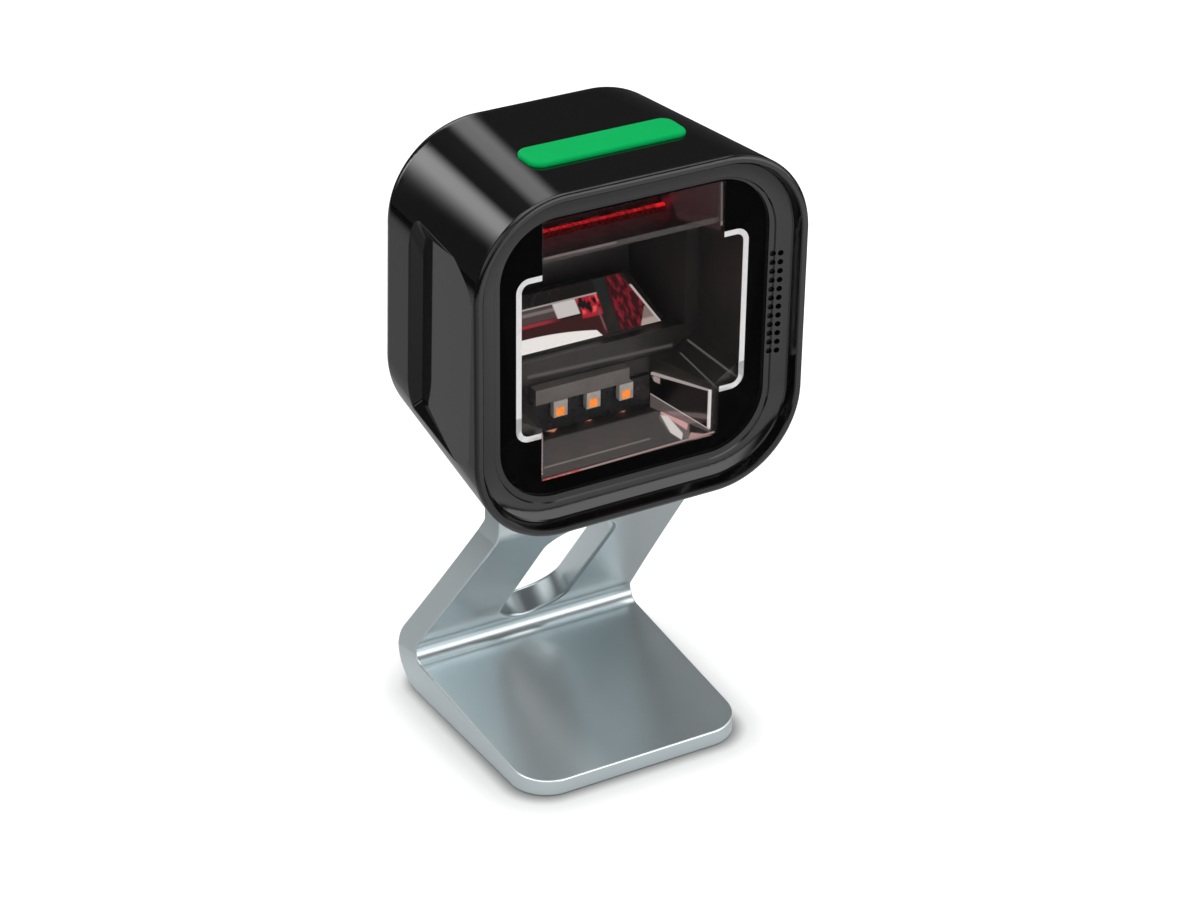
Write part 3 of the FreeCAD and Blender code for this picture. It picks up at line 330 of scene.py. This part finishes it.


# ------------------------------------------------------------------ painted light inside the head
def stroke_mask(tree, x, z, start, end, width, soft):
    """1 on the straight stroke from start to end, 0 elsewhere."""
    run, rise = end[0] - start[0], end[1] - start[1]
    length = math.hypot(run, rise)
    run, rise = run / length, rise / length
    from_x = tree.math("SUBTRACT", x, start[0])
    from_z = tree.math("SUBTRACT", z, start[1])
    along = tree.lean(tree.math("MULTIPLY", from_x, run), from_z, rise)
    across = tree.lean(tree.math("MULTIPLY", from_z, run), from_x, rise, "SUBTRACT")
    return tree.math("MULTIPLY", tree.window(across, -width / 2, width / 2, soft),
                     tree.window(along, 0.0, length, soft=0.5))


def area_mask(tree, x, z, outline, soft):
    """1 inside a convex outline given clockwise, 0 outside."""
    mask = None
    for start, end in zip(outline, outline[1:] + outline[:1]):
        run, rise = end[0] - start[0], end[1] - start[1]
        length = math.hypot(run, rise)
        inward = tree.math("SUBTRACT", tree.ramp(x, start[0], rise / length),
                           tree.ramp(z, start[1], run / length))
        side = tree.smooth(inward, -soft / 2, soft / 2)
        mask = side if mask is None else tree.math("MULTIPLY", mask, side)
    return mask


def add_painted_light(mat, draw_layers):
    """Paint light into a surface() material as emission; draw_layers(tree) lists (mask, colour),
    lowest layer first.
    """
    tree, shader = reopen(mat)
    color = (0.0, 0.0, 0.0)
    for mask, layer_color in draw_layers(tree):
        color = tree.mix_color(mask, color, layer_color)
    tree.set(shader, "Emission Color", color)
    tree.set(shader, "Emission Strength", 1.0)


# Painted light and painted highlights on the chassis, drawn as emission.
# Where it shows, colour, stroke width (None for a filled area), edge softness, / then
# (x, z) points of the stroke or outline as seen in the window plane. All in mm.
CHASSIS_PAINTED_LIGHT = (
    ("deep", (0.016, 0.0030, 0.0038), None, 4.0,
     [(-24.0, 31.6), (8.0, 31.6), (9.0, 28.0), (-24.0, 27.0)]),
    ("deep", (0.030, 0.0125, 0.0145), None, 0.4,
     [(7.4, 33.5), (20.3, 33.5), (20.7, 21.6), (9.7, 26.9)]),
    ("deep", (0.10, 0.004, 0.010), None, 1.6, [(5.2, 32.6), (9.0, 32.6), (7.4, 29.6)]),
    ("deep", (0.24, 0.20, 0.20), 0.55, 0.15, [(20.55, 33.0), (20.85, 22.8)]),
    ("deep", (0.24, 0.165, 0.165), 0.55, 0.15, [(-22.6, 24.8), (-5.2, 24.7)]),
    ("deep", (0.050, 0.049, 0.048), None, 0.6,
     [(-23.0, -18.6), (6.0, -18.6), (18.0, -30.5), (-23.0, -30.5)]),
    ("deep", (0.16, 0.145, 0.14), 0.45, 0.15, [(-22.4, -25.3), (4.2, -25.1)]),
    ("shallow", (0.36, 0.25, 0.24), 0.5, 0.15, [(-22.6, -28.40), (20.8, -27.80)]),
    ("mottled", (0.52, 0.05, 0.06), 0.6, 0.4, [(-22.6, -28.35), (-13.0, -28.2)]),
    ("deep", (0.062, 0.058, 0.055), 0.8, 0.5, [(-26.5, -2.2), (9.3, -3.2)]),
    ("deep", (0.085, 0.078, 0.075), 0.35, 0.15, [(11.3, -5.6), (22.3, -18.2)]),
    ("deep", (0.085, 0.078, 0.075), 0.5, 0.15, [(13.1, -2.9), (26.4, -15.5)]),
    ("deep", (0.13, 0.11, 0.105), None, 0.4,
     [(7.0, -17.6), (8.6, -17.9), (14.2, -23.6), (14.4, -28.3), (9.2, -25.0), (6.3, -20.4)]),
    ("deep", (0.60, 0.34, 0.33), None, 0.4,
     [(7.2, -17.8), (13.9, -24.0), (13.6, -25.4), (6.7, -19.4)]),
    ("deep", (0.66, 0.62, 0.60), None, 0.4,
     [(6.7, -19.8), (8.6, -20.6), (12.6, -26.0), (12.4, -27.6), (9.4, -25.0)]),
    ("deep", (0.42, 0.27, 0.25), None, 0.5,
     [(14.6, -26.3), (20.2, -28.4), (19.6, -29.4), (14.0, -28.0)]),
)
# Painted lamp glints below the lamps, placed by (x, z) in mm in the window plane.
GLINTS = ((-20.3, -16.2), (-11.4, -15.8), (-3.0, -15.8))
GLINT_COLOR = (0.50, 0.20, 0.12)


def chassis_painted_light(tree):
    """Painted light inside the light boxes: soft lit areas, painted highlights on the moulded
    edges and painted lamp glints.
    """
    x, z, depth = tree.sight_coords()
    mottle = tree.noise(tree.combine(x, z), 0.6, detail=2.0, roughness=0.5)
    deep = tree.smooth(depth, 6.5, 6.8)
    shallow = tree.smooth(depth, 4.3, 4.5)
    layers = []
    for place, color, width, soft, points in CHASSIS_PAINTED_LIGHT:
        if width is None:
            masks = [area_mask(tree, x, z, points, soft)]
        else:
            masks = [stroke_mask(tree, x, z, *points, width, soft)]
        if place == "mottled":
            masks.append(tree.smooth(mottle, 0.40, 0.55))
        layers.append((tree.product(deep if place == "deep" else shallow, *masks), color))
    for left, low in GLINTS:
        outline = [(left - 1.7, low - 0.1), (left + 0.2, low + 0.9),
                   (left + 1.6, low + 0.5), (left + 0.4, low - 0.9)]
        layers.append((tree.product(deep, area_mask(tree, x, z, outline, soft=0.5)), GLINT_COLOR))
    return layers


def reflector_painted_light(tree):
    """Painted highlights on the bevelled rim of the side reflectors and a painted reflection of
    the lamps in their lower half.
    """
    rim_start = 6.8                      # depth from which the rims slope
    side, depth, height = tree.head_coords()
    mottle = tree.noise(tree.combine(depth, height), 0.45, detail=2.0, roughness=0.5)
    upper_rim = tree.math("ADD", height, tree.ramp(depth, rim_start, 0.122))
    lower_rim = tree.math("SUBTRACT", height, tree.ramp(depth, rim_start, 0.16))
    right = tree.smooth(side, -1.0, 1.0)
    return [
        # Painted highlight from the upper rim upwards.
        (tree.smooth(upper_rim, -19.15, -18.95), (0.36, 0.33, 0.32)),
        # Painted highlight on the front edge, brighter on the right reflector.
        (tree.fall(depth, 7.25, 7.5), (0.10, 0.09, 0.09)),
        (tree.product(right, tree.fall(depth, 7.25, 7.5)), (0.66, 0.64, 0.63)),
        # Painted highlight on the lower rim, and a dimmer painted strip below it.
        (tree.window(lower_rim, -28.75, -28.35, 0.15), (0.40, 0.36, 0.36)),
        (tree.fall(lower_rim, -28.75, -28.6), (0.09, 0.075, 0.073)),
        # Painted reflection of the lamps.
        (tree.product(tree.window(depth, 20.6, 22.9, 0.4), tree.window(height, -22.4, -20.9, 0.4),
                      tree.smooth(mottle, 0.44, 0.5)), (0.34, 0.27, 0.26)),
    ]


def mirror_painted_reflection(tree):
    """Painted reflection in the fold mirror: lit tray, red lamps, a dark strut, and a painted
    highlight on its own edge.
    """
    x, z, _ = tree.sight_coords()
    product, smooth, fall, window = tree.product, tree.smooth, tree.fall, tree.window
    strut = tree.lean(x, z, 0.33)

    def streaks(x_scale, z_scale, shift, detail):
        place = tree.combine(tree.math("MULTIPLY", strut, x_scale),
                             tree.math("MULTIPLY", z, z_scale), shift)
        return tree.noise(place, 1.0, detail, roughness=0.5)

    right_streaks = streaks(0.9, 0.35, shift=0.0, detail=2.0)
    left_streaks = streaks(0.8, 0.3, shift=4.0, detail=1.0)
    left = fall(tree.lean(x, z, 0.29), -5.9, -5.3)

    # Curved top of the white tray, highest at x = -27, and its slanting right end.
    bow = tree.math("ADD", x, 27.0)
    bow_drop = tree.math("MULTIPLY", tree.math("MULTIPLY", bow, bow), 0.0062)
    tray_top = tree.math("SUBTRACT", 6.9, bow_drop)
    under_top = fall(tree.math("SUBTRACT", z, tray_top), -0.12, 0.12)
    tray_end = fall(tree.lean(x, z, 0.9), -5.3, -5.0)

    mirror_edge = tree.math("ADD", x, tree.ramp(z, 1.9, 0.72))
    patch = tree.lean(x, z, 0.38)
    inside = fall(mirror_edge, 6.6, 6.8)

    def red_lamp_glint(bottom, soft, low, high):
        return product(left, smooth(patch, -10.0, -9.7), window(z, bottom, 13.9, soft),
                       smooth(left_streaks, low, high))

    def lower_right_band(top, soft):
        return product(smooth(tree.lean(x, z, 0.12, "SUBTRACT"), 0.7, 1.1), inside,
                       window(z, 1.7, top, soft))

    return [
        (smooth(z, 1.5, 1.9), (0.012, 0.010, 0.010)),
        # Painted reflection left of the strut: dim red field, red line, grey block and its bright
        # parts.
        (product(left, window(z, 3.0, 9.5, 0.4)), (0.042, 0.014, 0.015)),
        (product(left, window(z, 9.4, 10.3, 0.3), fall(x, -23.0, -17.0)), (0.30, 0.030, 0.045)),
        (product(left, window(z, 10.4, 13.7, 0.3), fall(patch, -10.2, -9.8)),
         (0.075, 0.055, 0.055)),
        (product(window(z, 12.1, 12.9, 0.5), fall(patch, -15.2, -14.8)), (0.19, 0.165, 0.165)),
        (product(window(patch, -15.4, -10.0, 0.5), window(z, 10.0, 13.8, 0.2)),
         (0.60, 0.57, 0.56)),
        # Painted reflection of the red lamps.
        (red_lamp_glint(bottom=8.6, soft=0.6, low=0.40, high=0.50), (0.42, 0.018, 0.034)),
        (red_lamp_glint(bottom=9.6, soft=0.8, low=0.52, high=0.60), (0.78, 0.10, 0.10)),
        (product(left, smooth(z, 3.5, 5.5), window(patch, -5.9, -5.4, 0.3), fall(z, 9.0, 11.0)),
         (0.18, 0.075, 0.08)),
        (product(left, window(z, 13.75, 14.15, 0.15)), (0.36, 0.33, 0.33)),
        # Painted reflection of the white tray, then of the dark strut.
        (product(tray_end, under_top, smooth(z, 1.4, 1.6)), (0.88, 0.86, 0.84)),
        (product(window(strut, -5.3, -2.6, 0.6), fall(z, 18.5, 20.0)), (0.015, 0.020, 0.018)),
        # Painted reflection right of the strut: red haze, red streaks and a pale band low down.
        (product(smooth(strut, -2.8, -2.2), inside, window(z, 2.5, 19.0, 3.0)),
         (0.034, 0.007, 0.009)),
        (product(smooth(strut, -2.6, -2.0), inside, smooth(right_streaks, 0.44, 0.62),
                 window(z, 2.5, 18.0, 3.0)), (0.20, 0.014, 0.024)),
        (lower_right_band(top=8.0, soft=0.4), (0.22, 0.17, 0.155)),
        (lower_right_band(top=5.0, soft=0.8), (0.42, 0.35, 0.32)),
        # Painted highlight on the edge of the mirror, and the dark beyond it.
        (product(window(mirror_edge, 6.75, 7.35, 0.15), window(z, 1.6, 14.0, 0.6)),
         (0.50, 0.46, 0.44)),
        (smooth(mirror_edge, 7.35, 7.5), (0.006, 0.005, 0.005)),
    ]


add_painted_light(finishes["dark_chassis"], chassis_painted_light)
add_painted_light(finishes["reflector_metal"], reflector_painted_light)
add_painted_light(finishes["first_surface_mirror"], mirror_painted_reflection)


# ------------------------------------------------------------------ lamps and clear parts
def diffuser_strength(tree):
    """Uneven bright strip along the top of the diffuser, fuller at its right end."""
    side, _, height = tree.head_coords()
    mottle = tree.noise(tree.combine(side, 0.0), 0.9, detail=2.0, roughness=0.6)
    strip = tree.math("MULTIPLY", tree.smooth(height, 21.35, 21.6),
                      tree.smooth(mottle, 0.35, 0.6, 0.25, 0.9))
    right_end = tree.math("MULTIPLY", tree.smooth(side, 14.2, 15.6),
                          tree.smooth(height, 21.0, 21.6))
    bright = tree.math("ADD", strip, right_end)
    return tree.math("ADD", tree.math("MULTIPLY", bright, 0.62), 0.035)


def glow(name, piece, color, strength, body, draw_strength=None):
    """Glowing part; draw_strength(tree) can give a strength that varies over it."""
    mat, tree = new_material(name, (piece,))
    grain = tree.noise(tree.object_coords(), 900.0, detail=3.0, roughness=0.6)
    light = tree.mix_color(grain, scaled(color, 0.7), tuple(min(1.0, c * 1.25) for c in color))
    shader = tree.add("ShaderNodeBsdfPrincipled", {}, Base_Color=body,
                      Roughness=tree.smooth(grain, 0.3, 0.7, 0.2, 0.4),
                      Emission_Color=light, Emission_Strength=strength)
    tree.output(shader.outputs[0])
    if draw_strength:
        tree.set(shader, "Emission Strength", draw_strength(tree))


def clear_pane(name, piece, tint, sheen):
    """Thin coated pane: tinted see-through plus a faint, slightly uneven painted sheen, drawn as
    emission.
    """
    mat, tree = new_material(name, (piece,))
    grain = tree.noise(tree.object_coords(), 35.0, detail=3.0, roughness=0.5)
    color = tree.mix_color(grain, scaled(tint, 0.985), tint)
    clear = tree.add("ShaderNodeBsdfTransparent", {}, Color=color)
    facing = tree.add("ShaderNodeLayerWeight", {}, Blend=0.35).outputs["Facing"]
    strength = tree.math("MULTIPLY", tree.smooth(grain, 0.3, 0.7, 0.85, 1.15),
                         tree.smooth(facing, 0.0, 1.0, sheen, sheen * 14.0))
    light = tree.add("ShaderNodeEmission", {}, Color=(0.92, 0.97, 1.0), Strength=strength)
    tree.output(tree.join_shaders("ShaderNodeAddShader", clear.outputs[0], light.outputs[0]))


glow("amber_die", "lower_lamp_lenses", color=(1.0, 0.21, 0.016), strength=1.05,
     body=(0.3, 0.12, 0.03))
glow("red_strip", "upper_diffuser", color=(1.0, 0.010, 0.018), strength=0.5,
     body=(0.05, 0.002, 0.003), draw_strength=diffuser_strength)
glow("red_lamp", "upper_lamps", color=(1.0, 0.02, 0.03), strength=0.05, body=(0.05, 0.01, 0.01))
clear_pane("coated_window", "window_pane", tint=(0.955, 0.943, 0.938), sheen=0.0007)
clear_pane("camera_lens", "lens_glass", tint=(0.75, 0.80, 0.90), sheen=0.004)
glow("green_indicator", "indicator_leds", color=(0.05, 0.9, 0.3), strength=0.3,
     body=(0.3, 0.3, 0.3))


# ------------------------------------------------------------------ floor
def reflection_strength(tree, x, y, ray_length):
    """How much of the floor a reflected ray sees, by ray length and place."""
    front = tree.smooth(y, -0.24, -0.04, 1.0, 0.41)
    reach = tree.math("MULTIPLY", tree.smooth(ray_length, 0.09, 0.16, 1.0, front),
                      tree.smooth(ray_length, 0.36, 0.50, 1.0, 0.05))
    left = tree.smooth(x, -0.043, -0.032, 0.66, 0.97)
    behind = tree.smooth(y, -0.045, -0.020)
    # Dimmer on the right, except in front.
    right = tree.math("ADD", tree.math("MULTIPLY", tree.math("SUBTRACT", 1.0, behind), 1.0),
                      tree.math("MULTIPLY", behind, tree.smooth(x, 0.022, 0.040, 1.0, 0.50)))
    beside = tree.math("MULTIPLY", left, right)
    beside = tree.math("MULTIPLY", beside, tree.smooth(y, 0.025, 0.045, 1.0, 0.78))
    return tree.math("MULTIPLY", reach, beside)


def floor_material():
    """Pale matt floor with a soft dark contact shadow around the foot."""
    mat, tree = new_material("pale_floor")
    place = tree.object_coords()
    grain = tree.noise(place, 12.0, detail=4.0, roughness=0.6)
    x, y, _ = tree.separate(place)

    # Gap to the foot, a rounded rectangle: half sizes of its core and corner radius in m.
    past = [tree.math("MAXIMUM", tree.math("SUBTRACT", tree.math("ABSOLUTE", value), half), 0.0)
            for value, half in ((x, 0.0205), (y, 0.0235))]
    squares = [tree.math("MULTIPLY", value, value) for value in past]
    gap = tree.math("SUBTRACT", tree.math("SQRT", tree.math("ADD", *squares)), 0.0088)
    contact = tree.math("MULTIPLY", tree.smooth(gap, -0.001, 0.0035, 0.45, 1.0),
                        tree.smooth(gap, 0.0, 0.013, 0.80, 1.0))

    pale = tree.add(
        "ShaderNodeBsdfPrincipled", {}, Roughness=0.9, Specular_IOR_Level=0.0,
        Base_Color=tree.mix_color(grain, (0.865, 0.865, 0.868), (0.90, 0.90, 0.90)),
        Emission_Color=(1.0, 1.0, 1.0),
        Emission_Strength=tree.math("MULTIPLY", tree.smooth(grain, 0.2, 0.8, 0.20, 0.22), contact))

    rays = tree.add("ShaderNodeLightPath").outputs
    glossy = rays["Is Glossy Ray"]
    reflected = reflection_strength(tree, x, y, rays["Ray Length"])
    lost = tree.math("MULTIPLY", glossy, tree.math("SUBTRACT", 1.0, reflected))
    shade = tree.math("MAXIMUM", contact, tree.math("MULTIPLY", glossy, 0.92))
    keep = tree.math("MULTIPLY", tree.math("SUBTRACT", 1.0, lost), shade)
    dark = tree.add("ShaderNodeEmission", {}, Color=(0.0, 0.0, 0.0), Strength=0.0)
    tree.output(tree.join_shaders("ShaderNodeMixShader", keep, dark.outputs[0], pale.outputs[0]))
    return mat


def build_floor():
    mesh = bpy.data.meshes.new("floor")
    bm = bmesh.new()
    bmesh.ops.create_circle(bm, cap_ends=True, cap_tris=True, segments=FLOOR_SEGMENTS,
                            radius=FLOOR_RADIUS)
    bm.to_mesh(mesh)
    bm.free()
    floor = bpy.data.objects.new("floor", mesh)
    scene.collection.objects.link(floor)
    mesh.materials.append(floor_material())


build_floor()


# ------------------------------------------------------------------ studio surroundings
# Azimuth from and to, elevation from and to, softness of each, in degrees, then power.
# Azimuth 0 is straight behind the object, + is right.
PANELS = (
    (-21.5, -12.5, 2.0, 52.0, 7.0, 20.0, 2.9),           # slim panel behind, left
    (7.0, 22.0, 8.0, 52.0, 9.0, 20.0, 1.25),             # panel behind, right
    (-400.0, 400.0, 58.0, 95.0, 1.0, 14.0, 2.3),         # overhead
    (118.0, 172.0, -14.0, 28.0, 20.0, 8.0, 2.6),         # front right
    (-172.0, -118.0, 4.0, 40.0, 26.0, 12.0, 0.9),        # front left
    (-112.0, -78.0, 6.0, 48.0, 16.0, 16.0, 1.5),         # left
    (84.0, 104.0, 6.0, 48.0, 12.0, 16.0, 1.2),           # right
)


def build_world():
    """Reflections see a dark studio with soft panels, the camera white, all else a dome."""
    world = bpy.data.worlds.new("studio")
    scene.world = world
    tree = fresh_tree(world)
    x, y, z = tree.separate(tree.add("ShaderNodeTexCoord").outputs["Generated"])
    elevation = tree.math("DEGREES", tree.math("ARCSINE", z))
    azimuth = tree.math("DEGREES", tree.math("ARCTAN2", x, y))

    total = tree.smooth(elevation, 18.0, 60.0, 0.055, 0.30)
    for az_from, az_to, el_from, el_to, az_soft, el_soft, power in PANELS:
        shape = tree.math("MULTIPLY", tree.window(azimuth, az_from, az_to, az_soft),
                          tree.window(elevation, el_from, el_to, el_soft))
        total = tree.math("ADD", total, tree.math("MULTIPLY", shape, power))

    def background(strength):
        return tree.add("ShaderNodeBackground", {}, Color=(1.0, 1.0, 1.0),
                        Strength=strength).outputs[0]

    rays = tree.add("ShaderNodeLightPath").outputs
    mirror_like = tree.math("MAXIMUM", rays["Is Glossy Ray"], rays["Is Transmission Ray"])
    dome = background(tree.smooth(elevation, -20.0, 70.0, 0.95, 1.35))
    unseen = tree.join_shaders("ShaderNodeMixShader", mirror_like, dome, background(total))
    tree.output(tree.join_shaders("ShaderNodeMixShader", rays["Is Camera Ray"], unseen,
                                  background(1.05)), "ShaderNodeOutputWorld")
    world.cycles.sampling_method = "NONE"


build_world()


# ------------------------------------------------------------------ camera and render
def build_camera():
    lens = bpy.data.cameras.new("camera")
    lens.sensor_width = 36.0
    lens.lens = 96.766
    lens.clip_start = 0.02
    lens.clip_end = 20.0
    camera = bpy.data.objects.new("camera", lens)
    scene.collection.objects.link(camera)
    pose = Matrix((CAMERA_RIGHT, CAMERA_UP, -CAMERA_LOOK)).transposed().to_4x4()
    pose.translation = CAMERA_PLACE
    camera.matrix_world = pose
    scene.camera = camera


build_camera()
scene.cycles.diffuse_bounces = 2
scene.cycles.glossy_bounces = 3
scene.view_settings.view_transform = "Standard"
scene.view_settings.look = "None"
